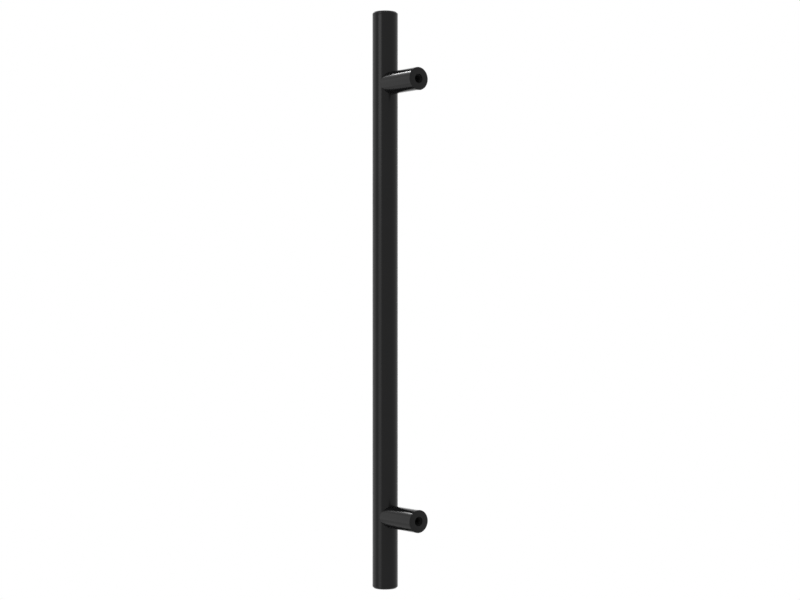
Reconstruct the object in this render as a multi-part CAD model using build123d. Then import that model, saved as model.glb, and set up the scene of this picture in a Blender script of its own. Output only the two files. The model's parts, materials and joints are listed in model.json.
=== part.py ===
from build123d import *
import math
import os

# Driving sizes of the finished handle, in millimetres
hole_pitch = 192.0
end_overhang = 32.0
projection = 30.2
bar_diameter = 11.3
bar_wall = 1.0
post_diameter = 10.0

# End caps, pressed into the tube
cap_rim = 1.0
cap_chamfer = 0.7
spigot_length = 6.0
spigot_lead_in = 0.5
spigot_clearance = 0.02

# Posts and the holes drilled into both of their ends
post_edge_break = 0.2
seat_clearance = 0.02
screw_thread = 4.0
screw_countersink = 0.1
stud_hole_depth = 5.0
post_web = 1.2
drill_point_angle = 118.0

# Grub screws that hold the posts to the bar
stud_thread = 5.0
thread_clearance = 0.05
stud_end_gap = 0.5
stud_in_insert = 6.5
stud_chamfer = 0.6
stud_key = 2.5
stud_key_depth = 2.5

# Tapped slugs inside the tube that the grub screws pull on
insert_length = 12.0
insert_clearance = 0.05
insert_chamfer = 0.4
wall_hole_clearance = 0.25

# Sizes that follow from the ones above
bar_radius = bar_diameter / 2
bore_radius = bar_radius - bar_wall
insert_radius = bore_radius - insert_clearance
cap_thickness = cap_rim + cap_chamfer
bar_half_length = hole_pitch / 2 + end_overhang
tube_half_length = bar_half_length - cap_thickness
axis_distance = projection - bar_radius
seat_radius = bar_radius + seat_clearance
stud_hole_floor = seat_radius + stud_hole_depth


def drill_point(diameter):
    """Height of the cone that a twist drill leaves at the floor of a blind hole."""
    return diameter / 2 / math.tan(math.radians(drill_point_angle / 2))


def turned(outline):
    """Solid turned about Z from its half section, given as (radius, height) corners."""
    corners = [(radius, 0, height) for radius, height in outline]
    return revolve(make_face(Polyline(*corners, close=True)), Axis.Z)


def blind_hole(diameter, floor, mouth):
    """Drilled hole along Z, from its mouth to its floor, with the drill's cone past the floor."""
    radius = diameter / 2
    way = math.copysign(1, floor - mouth)
    tip = floor + way * drill_point(diameter)
    return turned([(0, mouth), (radius, mouth), (radius, floor), (0, tip)])


def along_post(solid, height):
    """Turn a solid made along Z so that it runs from the bar's axis to the mounting plane."""
    return Plane((0, -axis_distance, height), x_dir=(1, 0, 0), z_dir=(0, 1, 0)).location * solid


def along_bar(solid, height):
    """Set a solid made along Z on the bar's axis."""
    return Pos(0, -axis_distance, height) * solid


def bar_tube():
    """Round tube, drilled through its back wall for the two grub screws."""
    end = tube_half_length
    tube = turned([(bore_radius, -end), (bar_radius, -end), (bar_radius, end), (bore_radius, end)])
    tube = along_bar(tube, 0)
    wall_hole = Cylinder(
        stud_thread / 2 + wall_hole_clearance,
        seat_radius,
        align=(Align.CENTER, Align.CENTER, Align.MIN),
    )
    for height in (hole_pitch / 2, -hole_pitch / 2):
        tube -= along_post(wall_hole, height)
    return tube


def end_cap():
    """Chamfered cap of the upper end, as wide as the tube, with a spigot that goes into the bore."""
    spigot_radius = bore_radius - spigot_clearance
    spigot_end = tube_half_length - spigot_length
    return turned(
        [
            (0, spigot_end),
            (spigot_radius - spigot_lead_in, spigot_end),
            (spigot_radius, spigot_end + spigot_lead_in),
            (spigot_radius, tube_half_length),
            (bar_radius, tube_half_length),
            (bar_radius, tube_half_length + cap_rim),
            (bar_radius - cap_chamfer, bar_half_length),
            (0, bar_half_length),
        ]
    )


def post(height):
    """Round post with a saddle that seats on the bar and a blind tapped hole in each end."""
    radius = post_diameter / 2
    rod = turned(
        [
            (0, 0),
            (radius, 0),
            (radius, axis_distance - post_edge_break),
            (radius - post_edge_break, axis_distance),
            (0, axis_distance),
        ]
    )
    rod -= blind_hole(stud_thread, stud_hole_floor, 0)
    screw_floor = stud_hole_floor + drill_point(stud_thread) + post_web + drill_point(screw_thread)
    rod -= blind_hole(screw_thread, screw_floor, axis_distance)
    screw_radius = screw_thread / 2
    rod -= turned(
        [
            (0, axis_distance),
            (screw_radius + screw_countersink, axis_distance),
            (screw_radius, axis_distance - screw_countersink),
            (0, axis_distance - screw_countersink),
        ]
    )
    saddle = Cylinder(seat_radius, 2 * post_diameter)
    return along_post(rod, height) - along_bar(saddle, height)


def stud():
    """Grub screw with chamfered ends and a hexagon socket in the end that faces the post."""
    radius = stud_thread / 2 - thread_clearance
    inner_end = insert_radius - stud_in_insert
    outer_end = stud_hole_floor - stud_end_gap
    screw = turned(
        [
            (0, inner_end),
            (radius - stud_chamfer, inner_end),
            (radius, inner_end + stud_chamfer),
            (radius, outer_end - stud_chamfer),
            (radius - stud_chamfer, outer_end),
            (0, outer_end),
        ]
    )
    socket = RegularPolygon(stud_key / 2, 6, major_radius=False)
    return screw - Pos(0, 0, outer_end - stud_key_depth) * extrude(socket, stud_key_depth)


def insert():
    """Round slug that slides into the tube, tapped across for a grub screw."""
    half = insert_length / 2
    slug = turned(
        [
            (0, -half),
            (insert_radius - insert_chamfer, -half),
            (insert_radius, insert_chamfer - half),
            (insert_radius, half - insert_chamfer),
            (insert_radius - insert_chamfer, half),
            (0, half),
        ]
    )
    return slug - Rot(90, 0, 0) * Cylinder(stud_thread / 2, bar_diameter)


nodes = {"bar_tube": bar_tube()}
for name, height in (("upper", hole_pitch / 2), ("lower", -hole_pitch / 2)):
    cap = end_cap()
    if height < 0:
        cap = Rot(180, 0, 0) * cap
    nodes[f"{name}_end_cap"] = along_bar(cap, 0)
    nodes[f"{name}_post"] = post(height)
    nodes[f"{name}_stud"] = along_post(stud(), height)
    nodes[f"{name}_insert"] = along_bar(insert(), height)

os.makedirs("parts", exist_ok=True)
for name, shape in nodes.items():
    export_step(shape, f"parts/{name}.step")
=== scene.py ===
import json
import math

import bmesh
import bpy
from mathutils import Matrix, Vector


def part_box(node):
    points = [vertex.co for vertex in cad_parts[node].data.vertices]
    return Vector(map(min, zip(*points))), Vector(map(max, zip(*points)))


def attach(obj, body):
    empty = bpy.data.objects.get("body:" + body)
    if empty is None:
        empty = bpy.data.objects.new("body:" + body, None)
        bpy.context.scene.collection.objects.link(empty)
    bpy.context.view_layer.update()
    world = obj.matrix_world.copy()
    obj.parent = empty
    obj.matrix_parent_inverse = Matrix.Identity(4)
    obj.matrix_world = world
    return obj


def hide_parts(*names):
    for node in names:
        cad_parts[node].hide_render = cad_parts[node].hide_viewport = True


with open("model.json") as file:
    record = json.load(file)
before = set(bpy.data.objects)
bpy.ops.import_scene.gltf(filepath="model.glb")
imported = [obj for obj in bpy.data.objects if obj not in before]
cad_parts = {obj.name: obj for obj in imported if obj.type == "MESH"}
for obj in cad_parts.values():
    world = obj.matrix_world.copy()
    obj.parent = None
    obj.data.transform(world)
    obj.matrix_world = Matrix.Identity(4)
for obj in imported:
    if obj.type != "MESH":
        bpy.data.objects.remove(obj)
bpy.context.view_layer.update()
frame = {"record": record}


# Bar: a straight round steel tube, cut square at both ends and coated black.
# Its back wall is drilled behind each post, so that a grub screw can pull the post onto it.
tube_low, tube_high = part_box("bar_tube")
slug_low, slug_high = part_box("upper_insert")
bar_axis = Vector((0, (slug_low.y + slug_high.y) / 2, 0))
bar_radius = tube_high.x
tube_length = tube_high.z - tube_low.z
slug_radius = slug_high.x
slug_play = 0.00005
bore_radius = slug_radius + slug_play
wall_hole_radius = 0.00275
wall_hole_surround = 1.5 * wall_hole_radius
seam_round = 0.00003
round_sides = 192
smooth_angle = math.radians(25)
squarely = 0.9
along_y = (-math.pi / 2, 0, 0)
mount_by_name = {mount["name"]: mount for mount in frame["record"]["mounts"]}
upper_height = mount_by_name["upper_screw_hole"]["pos_m"][2]
lower_height = mount_by_name["lower_screw_hole"]["pos_m"][2]


def leave_edit():
    """Leave edit mode and let go of everything that is selected."""
    if bpy.context.mode != "OBJECT":
        bpy.ops.object.mode_set(mode="OBJECT")
    bpy.ops.object.select_all(action="DESELECT")


def add_round(name, radius, length, centre, turn=(0, 0, 0), sides=round_sides):
    """Add a plain round bar to be shaped further, with its place kept in its mesh."""
    leave_edit()
    bpy.ops.mesh.primitive_cylinder_add(
        vertices=sides, radius=radius, depth=length, location=centre, rotation=turn
    )
    bpy.ops.object.transform_apply(location=True, rotation=True, scale=True)
    piece = bpy.context.object
    piece.name = name
    piece.data.name = name
    return piece


def pick(piece, kind, test):
    """Open a piece in edit mode with only those faces or edges selected that pass a test."""
    bpy.context.view_layer.objects.active = piece
    bpy.ops.object.mode_set(mode="EDIT")
    bpy.ops.mesh.select_mode(type=kind)
    bpy.ops.mesh.select_all(action="DESELECT")
    shape = bmesh.from_edit_mesh(piece.data)
    for element in shape.faces if kind == "FACE" else shape.edges:
        if test(element):
            element.select_set(True)
    shape.select_flush_mode()
    bmesh.update_edit_mesh(piece.data)


def on_ring(axis, place, radius, centre):
    """Test for edges of a circle about an axis (0 to 2), at a place along that axis."""
    slack = 2e-6

    def test(edge):
        for vertex in edge.verts:
            reach = vertex.co - centre
            reach[axis] = 0
            if abs(vertex.co[axis] - place) > slack or abs(reach.length - radius) > slack:
                return False
        return True

    return test


def cut(piece, cutter):
    """Take the shape of a cutter out of a piece."""
    leave_edit()
    bpy.context.view_layer.objects.active = piece
    piece.select_set(True)
    taking = piece.modifiers.new("cut", "BOOLEAN")
    taking.operation = "DIFFERENCE"
    taking.solver = "EXACT"
    taking.object = cutter
    bpy.ops.object.modifier_apply(modifier=taking.name)
    bpy.data.objects.remove(cutter)


def finish_piece(piece, material, node):
    """Shade a finished piece, give it its finish and set it in the place of its node."""
    leave_edit()
    bpy.context.view_layer.objects.active = piece
    piece.select_set(True)
    bpy.ops.object.shade_smooth_by_angle(angle=smooth_angle)
    evening = piece.modifiers.new("even_shading", "WEIGHTED_NORMAL")
    evening.keep_sharp = True
    bpy.ops.object.modifier_apply(modifier=evening.name)
    piece.data.materials.clear()
    piece.data.materials.append(material)
    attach(piece, "root")
    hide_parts(node)


def surface_grain():
    """Group of nodes that gives the grain of a surface, of any fineness and drawn out along any axis."""
    group = bpy.data.node_groups.new("surface_grain", "ShaderNodeTree")
    sockets = group.interface
    sockets.new_socket("Place", in_out="INPUT", socket_type="NodeSocketVector")
    sockets.new_socket("Stretch", in_out="INPUT", socket_type="NodeSocketVector")
    sockets.new_socket("Cells per Metre", in_out="INPUT", socket_type="NodeSocketFloat")
    sockets.new_socket("Detail", in_out="INPUT", socket_type="NodeSocketFloat")
    sockets.new_socket("Grain", in_out="OUTPUT", socket_type="NodeSocketFloat")
    nodes, links = group.nodes, group.links
    given = nodes.new("NodeGroupInput").outputs
    drawn_out = nodes.new("ShaderNodeVectorMath")
    drawn_out.operation = "MULTIPLY"
    links.new(given["Place"], drawn_out.inputs[0])
    links.new(given["Stretch"], drawn_out.inputs[1])
    texture = nodes.new("ShaderNodeTexNoise")
    links.new(drawn_out.outputs["Vector"], texture.inputs["Vector"])
    links.new(given["Cells per Metre"], texture.inputs["Scale"])
    links.new(given["Detail"], texture.inputs["Detail"])
    links.new(texture.outputs["Fac"], nodes.new("NodeGroupOutput").inputs["Grain"])
    return group


def add_grain(material, cells, detail, stretch=(1, 1, 1)):
    """Place the grain in a material, on the piece's own coordinates, and give its output."""
    nodes, links = material.node_tree.nodes, material.node_tree.links
    placed = nodes.new("ShaderNodeGroup")
    placed.node_tree = grain
    placed.inputs["Stretch"].default_value = stretch
    placed.inputs["Cells per Metre"].default_value = cells
    placed.inputs["Detail"].default_value = detail
    links.new(nodes.new("ShaderNodeTexCoord").outputs["Object"], placed.inputs["Place"])
    return placed.outputs["Grain"]


def black_coating():
    """Satin black powder coat: a weak sheen, a faint orange-peel skin and an uneven, fine gloss."""
    deep_black = (0.0040, 0.0040, 0.0042, 1)
    soft_black = (0.0054, 0.0054, 0.0056, 1)
    cloud_cells = 120
    fleck_cells = 6000
    peel_cells = 1600
    peel_depth = 0.00001
    peel_strength = 0.4
    sheen_level = 0.18
    fleck_low, fleck_high = 0.3, 0.7
    glossiest, dullest = 0.16, 0.21
    thin_coat_roughness = 0.75
    material = bpy.data.materials.new("satin_black_coating")
    material.use_nodes = True
    nodes, links = material.node_tree.nodes, material.node_tree.links
    shader = nodes["Principled BSDF"]
    shader.inputs["Specular IOR Level"].default_value = sheen_level

    tone = nodes.new("ShaderNodeMix")
    tone.data_type = "RGBA"
    tone.inputs["A"].default_value = deep_black
    tone.inputs["B"].default_value = soft_black
    links.new(add_grain(material, cloud_cells, detail=3), tone.inputs["Factor"])
    links.new(tone.outputs["Result"], shader.inputs["Base Color"])

    gloss = nodes.new("ShaderNodeMapRange")
    gloss.inputs["From Min"].default_value = fleck_low
    gloss.inputs["From Max"].default_value = fleck_high
    gloss.inputs["To Min"].default_value = glossiest
    gloss.inputs["To Max"].default_value = dullest
    links.new(add_grain(material, fleck_cells, detail=2), gloss.inputs["Value"])
    thin = nodes.new("ShaderNodeAttribute")
    thin.attribute_name = "thin_coat"
    dulled = nodes.new("ShaderNodeMix")
    dulled.inputs["B"].default_value = thin_coat_roughness
    links.new(thin.outputs["Fac"], dulled.inputs["Factor"])
    links.new(gloss.outputs["Result"], dulled.inputs["A"])
    links.new(dulled.outputs["Result"], shader.inputs["Roughness"])

    skin = nodes.new("ShaderNodeBump")
    skin.inputs["Strength"].default_value = peel_strength
    skin.inputs["Distance"].default_value = peel_depth
    links.new(add_grain(material, peel_cells, detail=2), skin.inputs["Height"])
    links.new(skin.outputs["Normal"], shader.inputs["Normal"])
    return material


grain = surface_grain()
coating = black_coating()
bar = add_round("bar", bar_radius, tube_length, bar_axis)
pick(bar, "FACE", lambda face: abs(face.normal.z) > squarely)
bpy.ops.mesh.inset(thickness=bar_radius - bore_radius)
bpy.ops.mesh.bridge_edge_loops()
for end in (tube_low.z, tube_high.z):
    pick(bar, "EDGE", on_ring(2, end, bar_radius, bar_axis))
    bpy.ops.mesh.bevel(offset=seam_round, segments=2, affect="EDGES")
for height in (upper_height, lower_height):
    for side in (-1, 1):
        bpy.ops.mesh.select_all(action="SELECT")
        beside_hole = (0, 0, height + side * wall_hole_surround)
        bpy.ops.mesh.bisect(plane_co=beside_hole, plane_no=(0, 0, 1))
for height in (upper_height, lower_height):
    behind_axis = bar_axis + Vector((0, bar_radius, height))
    cut(bar, add_round("drill", wall_hole_radius, 2 * bar_radius, behind_axis, along_y))
finish_piece(bar, coating, "bar_tube")


# Slugs: short round steel pieces that slide into the tube and stand behind the drilled holes.
# Each is turned, chamfered and tapped across for the grub screw, and is left bright.
slug_chamfer = 0.0004
screw_sides = 96
grub_thread = 0.0025
grub_pitch = 0.0008
to_lower = Matrix.Translation((0, 0, lower_height - upper_height))
upper_seat = bar_axis + Vector((0, 0, upper_height))
towards_door = Matrix.Translation(upper_seat) @ Matrix.Rotation(-math.pi / 2, 4, "X")


def bore_of(thread_radius, pitch):
    """Radius of the hole that is drilled before a thread is tapped."""
    tapped_depth = 0.541 * pitch
    return thread_radius - tapped_depth


def thread_groove(mouth, root, pitch, first_turn, last_turn):
    """Closed coil about Z with the section of a thread's groove, from its mouth to its root."""
    overcut = 0.0001
    weld_distance = 1e-7
    past_mouth = math.copysign(overcut, mouth - root)
    flank = math.tan(math.radians(30))
    root_half = pitch / 16
    mouth_half = root_half + abs(mouth + past_mouth - root) * flank
    corners = (
        (mouth + past_mouth, -mouth_half),
        (root, -root_half),
        (root, root_half),
        (mouth + past_mouth, mouth_half),
    )
    leave_edit()
    bpy.ops.mesh.primitive_circle_add(vertices=len(corners))
    coil = bpy.context.object
    for vertex, (radius, height) in zip(coil.data.vertices, corners):
        vertex.co = (radius, 0, height + first_turn * pitch)
    winding = coil.modifiers.new("winding", "SCREW")
    winding.axis = "Z"
    winding.screw_offset = pitch
    winding.iterations = last_turn - first_turn
    winding.steps = screw_sides
    winding.render_steps = screw_sides
    bpy.ops.object.modifier_apply(modifier=winding.name)
    bpy.ops.object.mode_set(mode="EDIT")
    bpy.ops.mesh.select_all(action="SELECT")
    bpy.ops.mesh.remove_doubles(threshold=weld_distance)
    bpy.ops.mesh.fill_holes(sides=len(corners))
    bpy.ops.mesh.select_all(action="SELECT")
    bpy.ops.mesh.normals_make_consistent(inside=False)
    bpy.ops.object.mode_set(mode="OBJECT")
    # A quarter of a step keeps the coil's edges off the edges of the hole that it cuts.
    quarter_step = math.pi / 2 / screw_sides
    coil.data.transform(Matrix.Rotation(quarter_step, 4, "Z"))
    return coil


def copy_piece(piece, name, place):
    """Copy a piece with a mesh of its own, moved in that mesh."""
    leave_edit()
    twin = piece.copy()
    twin.name = name
    twin.data = piece.data.copy()
    twin.data.name = name
    twin.data.transform(place)
    bpy.context.scene.collection.objects.link(twin)
    return twin


def bright_steel(name, stretch):
    """Bright steel with a film of oil; its turning marks run round the axis that stretch leaves fine."""
    dark_steel = (0.36, 0.36, 0.37, 1)
    light_steel = (0.52, 0.52, 0.53, 1)
    mark_cells = 9000
    mark_depth = 0.000005
    mark_strength = 0.5
    glossiest, dullest = 0.22, 0.45
    material = bpy.data.materials.new(name)
    material.use_nodes = True
    nodes, links = material.node_tree.nodes, material.node_tree.links
    shader = nodes["Principled BSDF"]
    shader.inputs["Metallic"].default_value = 1
    marks = add_grain(material, mark_cells, detail=3, stretch=stretch)
    tone = nodes.new("ShaderNodeMix")
    tone.data_type = "RGBA"
    tone.inputs["A"].default_value = dark_steel
    tone.inputs["B"].default_value = light_steel
    links.new(marks, tone.inputs["Factor"])
    links.new(tone.outputs["Result"], shader.inputs["Base Color"])
    gloss = nodes.new("ShaderNodeMapRange")
    gloss.inputs["To Min"].default_value = glossiest
    gloss.inputs["To Max"].default_value = dullest
    links.new(marks, gloss.inputs["Value"])
    links.new(gloss.outputs["Result"], shader.inputs["Roughness"])
    scratches = nodes.new("ShaderNodeBump")
    scratches.inputs["Strength"].default_value = mark_strength
    scratches.inputs["Distance"].default_value = mark_depth
    links.new(marks, scratches.inputs["Height"])
    links.new(scratches.outputs["Normal"], shader.inputs["Normal"])
    return material


mark_stretch = 0.05
slug_steel = bright_steel("bright_slug_steel", (mark_stretch, mark_stretch, 1))
grub_bore = bore_of(grub_thread, grub_pitch)
through_slug = 4 * slug_radius
upper_slug = add_round("upper_slug", slug_radius, slug_high.z - slug_low.z, upper_seat)
for end in (slug_low.z, slug_high.z):
    pick(upper_slug, "EDGE", on_ring(2, end, slug_radius, bar_axis))
    bpy.ops.mesh.bevel(offset=slug_chamfer, segments=1, affect="EDGES")
cut(upper_slug, add_round("drill", grub_bore, through_slug, upper_seat, along_y, screw_sides))
slug_turns = math.ceil(slug_radius / grub_pitch) + 1
slug_tap = thread_groove(grub_bore, grub_thread, grub_pitch, -slug_turns, slug_turns)
slug_tap.data.transform(towards_door)
cut(upper_slug, slug_tap)
lower_slug = copy_piece(upper_slug, "lower_slug", to_lower)
finish_piece(upper_slug, slug_steel, "upper_insert")
finish_piece(lower_slug, slug_steel, "lower_insert")


# End caps: turned steel plugs as wide as the tube, pressed into its bore until the rim seats.
# The rim carries the chamfer that finishes the bar, and the coating runs over the seam.
cap_low, cap_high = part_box("upper_end_cap")
spigot_play = 0.00002
spigot_radius = bore_radius - spigot_play
spigot_lead_in = 0.0005
cap_chamfer = 0.0007
edge_round = 0.00012
rim_height = cap_high.z - tube_high.z
spigot_length = tube_high.z - cap_low.z

rim_centre = bar_axis + Vector((0, 0, tube_high.z + rim_height / 2))
upper_cap = add_round("upper_cap", bar_radius, rim_height, rim_centre)
pick(upper_cap, "FACE", lambda face: face.normal.z < -squarely)
bpy.ops.mesh.inset(thickness=bar_radius - spigot_radius)
bpy.ops.mesh.extrude_region_move(TRANSFORM_OT_translate={"value": (0, 0, -spigot_length)})
pick(upper_cap, "EDGE", on_ring(2, cap_low.z, spigot_radius, bar_axis))
bpy.ops.mesh.bevel(offset=spigot_lead_in, segments=1, affect="EDGES")
pick(upper_cap, "EDGE", on_ring(2, tube_high.z, bar_radius, bar_axis))
bpy.ops.mesh.bevel(offset=seam_round, segments=2, affect="EDGES")
pick(upper_cap, "EDGE", on_ring(2, cap_high.z, bar_radius, bar_axis))
bpy.ops.mesh.bevel(offset=cap_chamfer, segments=1, affect="EDGES")
chamfer_rings = (
    (cap_high.z, bar_radius - cap_chamfer),
    (cap_high.z - cap_chamfer, bar_radius),
)
for height, radius in chamfer_rings:
    pick(upper_cap, "EDGE", on_ring(2, height, radius, bar_axis))
    bpy.ops.mesh.bevel(offset=edge_round, segments=3, affect="EDGES")
about_bar = Matrix.Translation(bar_axis)
end_over_end = about_bar @ Matrix.Rotation(math.pi, 4, "X") @ about_bar.inverted()
lower_cap = copy_piece(upper_cap, "lower_cap", end_over_end)
finish_piece(upper_cap, coating, "upper_end_cap")
finish_piece(lower_cap, coating, "lower_end_cap")


# Grub screws: steel set screws with chamfered ends, screwed into the slugs through the tube's wall.
# The posts are screwed onto their other ends; a hexagon socket there takes the key that drives them.
stud_low, stud_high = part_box("upper_stud")
stud_radius = stud_high.x
stud_chamfer = 0.0006
stud_thread_depth = 0.613 * grub_pitch
stud_root = stud_radius - stud_thread_depth
key_flats = 0.0025
key_depth = 0.0025
key_sides = 6

stud_steel = bright_steel("bright_screw_steel", (1, mark_stretch, 1))
stud_centre = (0, (stud_low.y + stud_high.y) / 2, upper_height)
upper_stud = add_round(
    "upper_grub_screw", stud_radius, stud_high.y - stud_low.y, stud_centre, along_y, screw_sides
)
for end in (stud_low.y, stud_high.y):
    pick(upper_stud, "EDGE", on_ring(1, end, stud_radius, upper_seat))
    bpy.ops.mesh.bevel(offset=stud_chamfer, segments=1, affect="EDGES")
key_corners = key_flats / math.sqrt(3)
key_mouth = (0, stud_high.y, upper_height)
cut(upper_stud, add_round("key", key_corners, 2 * key_depth, key_mouth, along_y, key_sides))
first_turn = math.floor((stud_low.y - bar_axis.y) / grub_pitch) - 1
last_turn = math.ceil((stud_high.y - bar_axis.y) / grub_pitch) + 1
stud_die = thread_groove(stud_radius, stud_root, grub_pitch, first_turn, last_turn)
between_grooves = Matrix.Translation((0, 0, grub_pitch / 2))
stud_die.data.transform(towards_door @ between_grooves)
cut(upper_stud, stud_die)
lower_stud = copy_piece(upper_stud, "lower_grub_screw", to_lower)
finish_piece(upper_stud, stud_steel, "upper_stud")
finish_piece(lower_stud, stud_steel, "lower_stud")


# Posts: turned steel rod, milled at one end to a saddle that seats on the bar, and tapped there
# for the grub screw. The other end is faced flat, drilled and tapped M4 for the screw through the door.
# The coating covers the outside and lies thin and dull inside the screw hole.
post_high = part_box("upper_post")[1]
post_radius = post_high.x
mounting_plane = post_high.y
post_length = mounting_plane - bar_axis.y
post_edge_break = 0.0002
saddle_play = 0.00002
saddle_cut_length = 4 * post_radius
mm_per_metre = 1000
screw = mount_by_name["upper_screw_hole"]["dims"]
screw_thread = screw["r_mm"] / mm_per_metre
screw_pitch = 0.0007
screw_bore = bore_of(screw_thread, screw_pitch)
screw_hole_depth = screw["length_mm"] / mm_per_metre
lead_in_radius = 0.00203
lead_in_depth = 0.0008
lead_in_edge = 0.00007
grub_hole_depth = 0.0050
drill_point_angle = 118
drill_point_slope = math.tan(math.radians(90 - drill_point_angle / 2))
quite_flat = 0.999

post_centre = upper_seat + Vector((0, post_length / 2, 0))
upper_post = add_round("upper_saddle_post", post_radius, post_length, post_centre, along_y)
hole_mouth = Vector((0, mounting_plane, upper_height))
pick(upper_post, "EDGE", on_ring(1, mounting_plane, post_radius, hole_mouth))
bpy.ops.mesh.bevel(offset=post_edge_break, segments=3, affect="EDGES")
pick(upper_post, "FACE", lambda face: face.normal.y > quite_flat)
bpy.ops.mesh.inset(thickness=post_radius - post_edge_break - lead_in_radius)
bpy.ops.mesh.extrude_region_move(TRANSFORM_OT_translate={"value": (0, -lead_in_depth, 0)})
bpy.ops.mesh.inset(thickness=lead_in_radius - screw_bore, depth=screw_bore - lead_in_radius)
thread_depth = screw_hole_depth - lead_in_depth - (lead_in_radius - screw_bore)
bpy.ops.mesh.extrude_region_move(TRANSFORM_OT_translate={"value": (0, -thread_depth, 0)})
bpy.ops.mesh.poke(offset=-screw_bore * drill_point_slope)
pick(upper_post, "EDGE", on_ring(1, mounting_plane, lead_in_radius, hole_mouth))
bpy.ops.mesh.bevel(offset=lead_in_edge, segments=1, affect="EDGES")
saddle_radius = bar_radius + saddle_play
cut(upper_post, add_round("saddle", saddle_radius, saddle_cut_length, upper_seat))

grub_hole_floor = saddle_radius + grub_hole_depth
drill_centre = upper_seat + Vector((0, grub_hole_floor / 2, 0))
grub_drill = add_round("drill", grub_bore, grub_hole_floor, drill_centre, along_y, screw_sides)
pick(grub_drill, "FACE", lambda face: face.normal.y > squarely)
bpy.ops.mesh.poke(offset=grub_bore * drill_point_slope)
cut(upper_post, grub_drill)
grub_turns = math.floor(grub_hole_floor / grub_pitch)
grub_tap = thread_groove(grub_bore, grub_thread, grub_pitch, 0, grub_turns)
grub_tap.data.transform(towards_door)
cut(upper_post, grub_tap)
into_post = Matrix.Translation(hole_mouth) @ Matrix.Rotation(math.pi / 2, 4, "X")
screw_turns = math.floor(screw_hole_depth / screw_pitch)
screw_tap = thread_groove(screw_bore, screw_thread, screw_pitch, 1, screw_turns)
screw_tap.data.transform(into_post)
cut(upper_post, screw_tap)
thin_coat = upper_post.data.attributes.new("thin_coat", "FLOAT", "FACE")
for face in upper_post.data.polygons:
    reach = face.center - hole_mouth
    in_hole = math.hypot(reach.x, reach.z) < lead_in_radius + lead_in_edge / 2
    thin_coat.data[face.index].value = float(in_hole and reach.y < -lead_in_edge)
lower_post = copy_piece(upper_post, "lower_saddle_post", to_lower)
finish_piece(upper_post, coating, "upper_post")
finish_piece(lower_post, coating, "lower_post")


# Camera: level with the middle of the bar, looking at the handle from the side of its door.
# It is turned away from square, so that the flat ends and one flank of the posts both show.
view_turn = math.radians(36.94)
view_distance = 0.754
view_aside = 0.0066
focal_pixels = 1695
frame_width_pixels = 800
sensor_width = 36.0
nearest_seen = 0.01
towards_camera = Vector((math.sin(view_turn), math.cos(view_turn), 0))
picture_right = Vector((-math.cos(view_turn), math.sin(view_turn), 0))
camera_data = bpy.data.cameras.new("camera")
camera_data.sensor_width = sensor_width
camera_data.lens = focal_pixels / frame_width_pixels * sensor_width
camera_data.clip_start = nearest_seen
camera = bpy.data.objects.new("camera", camera_data)
camera.location = bar_axis + view_distance * towards_camera + view_aside * picture_right
camera.rotation_euler = (-towards_camera).to_track_quat("-Z", "Y").to_euler()
bpy.context.scene.collection.objects.link(camera)
bpy.context.scene.camera = camera


# Floor: a pale round floor below the handle, which hangs as if on its door.
# It is painted board, its rim fades into the white of the studio, and from below it doesn't show.
floor_drop = 0.30
floor_radius = 1.0
floor_sides = 96
clear_from = 0.4 * floor_radius
leave_edit()
bpy.ops.mesh.primitive_circle_add(
    vertices=floor_sides, radius=floor_radius, fill_type="NGON", location=(0, 0, -floor_drop)
)
floor = bpy.context.object
floor.name = "floor"
bpy.ops.object.transform_apply(location=True, rotation=True, scale=True)


def pale_floor():
    """Pale painted board that gets clear towards the rim, and is clear from below."""
    pale_grey = (0.86, 0.86, 0.86, 1)
    off_white = (0.89, 0.89, 0.89, 1)
    board_roughness = 0.9
    cloud_cells = 6
    material = bpy.data.materials.new("pale_floor")
    material.use_nodes = True
    nodes, links = material.node_tree.nodes, material.node_tree.links
    shader = nodes["Principled BSDF"]
    shader.inputs["Roughness"].default_value = board_roughness
    place = nodes.new("ShaderNodeTexCoord").outputs["Object"]
    tone = nodes.new("ShaderNodeMix")
    tone.data_type = "RGBA"
    tone.inputs["A"].default_value = pale_grey
    tone.inputs["B"].default_value = off_white
    links.new(add_grain(material, cloud_cells, detail=3), tone.inputs["Factor"])
    links.new(tone.outputs["Result"], shader.inputs["Base Color"])
    reach = nodes.new("ShaderNodeVectorMath")
    reach.operation = "LENGTH"
    links.new(place, reach.inputs[0])
    fade = nodes.new("ShaderNodeMapRange")
    fade.interpolation_type = "SMOOTHSTEP"
    fade.inputs["From Min"].default_value = clear_from
    fade.inputs["From Max"].default_value = floor_radius
    links.new(reach.outputs["Value"], fade.inputs["Value"])
    gone = nodes.new("ShaderNodeMath")
    gone.operation = "MAXIMUM"
    links.new(fade.outputs["Result"], gone.inputs[0])
    links.new(nodes.new("ShaderNodeNewGeometry").outputs["Backfacing"], gone.inputs[1])
    clear = nodes.new("ShaderNodeBsdfTransparent")
    both = nodes.new("ShaderNodeMixShader")
    links.new(gone.outputs["Value"], both.inputs["Fac"])
    links.new(shader.outputs["BSDF"], both.inputs[1])
    links.new(clear.outputs["BSDF"], both.inputs[2])
    links.new(both.outputs["Shader"], nodes["Material Output"].inputs["Surface"])
    return material


floor.data.materials.append(pale_floor())


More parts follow.
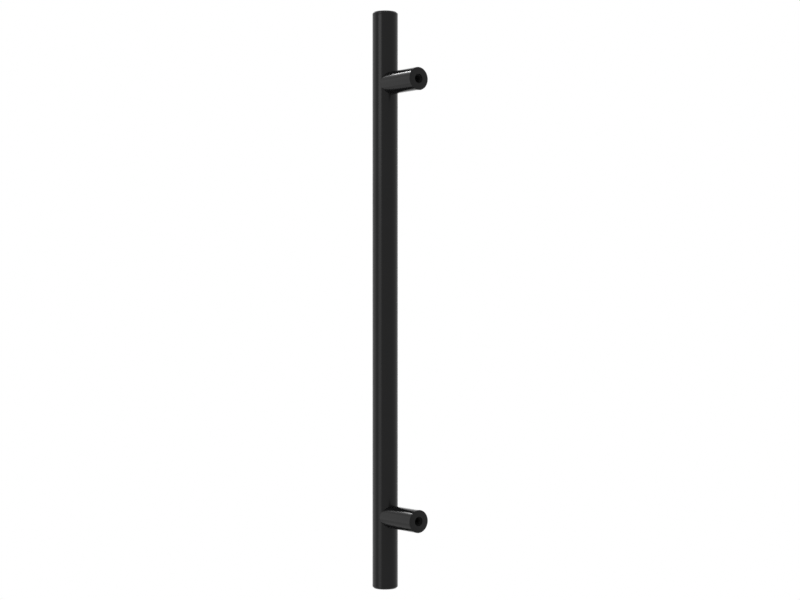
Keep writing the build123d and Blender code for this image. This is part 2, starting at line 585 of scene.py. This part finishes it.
# Light: a white studio all round, a little below white where it only lights the floor.
# A far strip light with a dimmer wing draws the line along the top of the posts, two softboxes at the
# side draw the streak of the bar and the posts' flanks, and two panels past the bar lift its edges.
studio_light = 0.8
world = bpy.data.worlds.new("studio")
bpy.context.scene.world = world
world.use_nodes = True
studio_nodes, studio_links = world.node_tree.nodes, world.node_tree.links
ray = studio_nodes.new("ShaderNodeLightPath")
seen = ray.outputs["Is Camera Ray"]
for kind in ("Is Glossy Ray", "Is Transmission Ray"):
    either = studio_nodes.new("ShaderNodeMath")
    either.operation = "MAXIMUM"
    studio_links.new(seen, either.inputs[0])
    studio_links.new(ray.outputs[kind], either.inputs[1])
    seen = either.outputs["Value"]
level = studio_nodes.new("ShaderNodeMapRange")
level.inputs["To Min"].default_value = studio_light
level.inputs["To Max"].default_value = 1
studio_links.new(seen, level.inputs["Value"])
backdrop = studio_nodes["Background"]
backdrop.inputs["Color"].default_value = (1, 1, 1, 1)
studio_links.new(level.outputs["Result"], backdrop.inputs["Strength"])


def soft_light(name, direction, distance, width, height, radiance):
    """Rectangular softbox that faces the handle, of an even brightness."""
    data = bpy.data.lights.new(name, "AREA")
    data.shape = "RECTANGLE"
    data.size = width
    data.size_y = height
    data.energy = radiance * math.pi * width * height
    light = bpy.data.objects.new(name, data)
    out = Vector(direction).normalized()
    light.location = bar_axis + distance * out
    light.rotation_euler = out.to_track_quat("Z", "Y").to_euler()
    light.visible_camera = False
    bpy.context.scene.collection.objects.link(light)


soft_light("key_strip", (0.07, -0.79, 0.612), distance=4.0, width=0.50, height=0.40, radiance=32.0)
soft_light("key_wing", (0.24, -0.755, 0.605), distance=4.0, width=0.52, height=0.40, radiance=2.8)
soft_light("side_strip", (1.0, 0.09, 0.0), distance=1.2, width=0.60, height=1.20, radiance=1.2)
soft_light("high_side_strip", (1.0, 0.09, 0.36), distance=1.25, width=0.60, height=0.56, radiance=1.35)
soft_light("near_panel", (0.6, -0.8, 0.0), distance=1.2, width=0.40, height=1.0, radiance=0.45)
soft_light("far_panel", (-0.62, -0.78, 0.0), distance=1.2, width=0.35, height=0.60, radiance=1.1)

bpy.context.scene.view_settings.view_transform = "Standard"
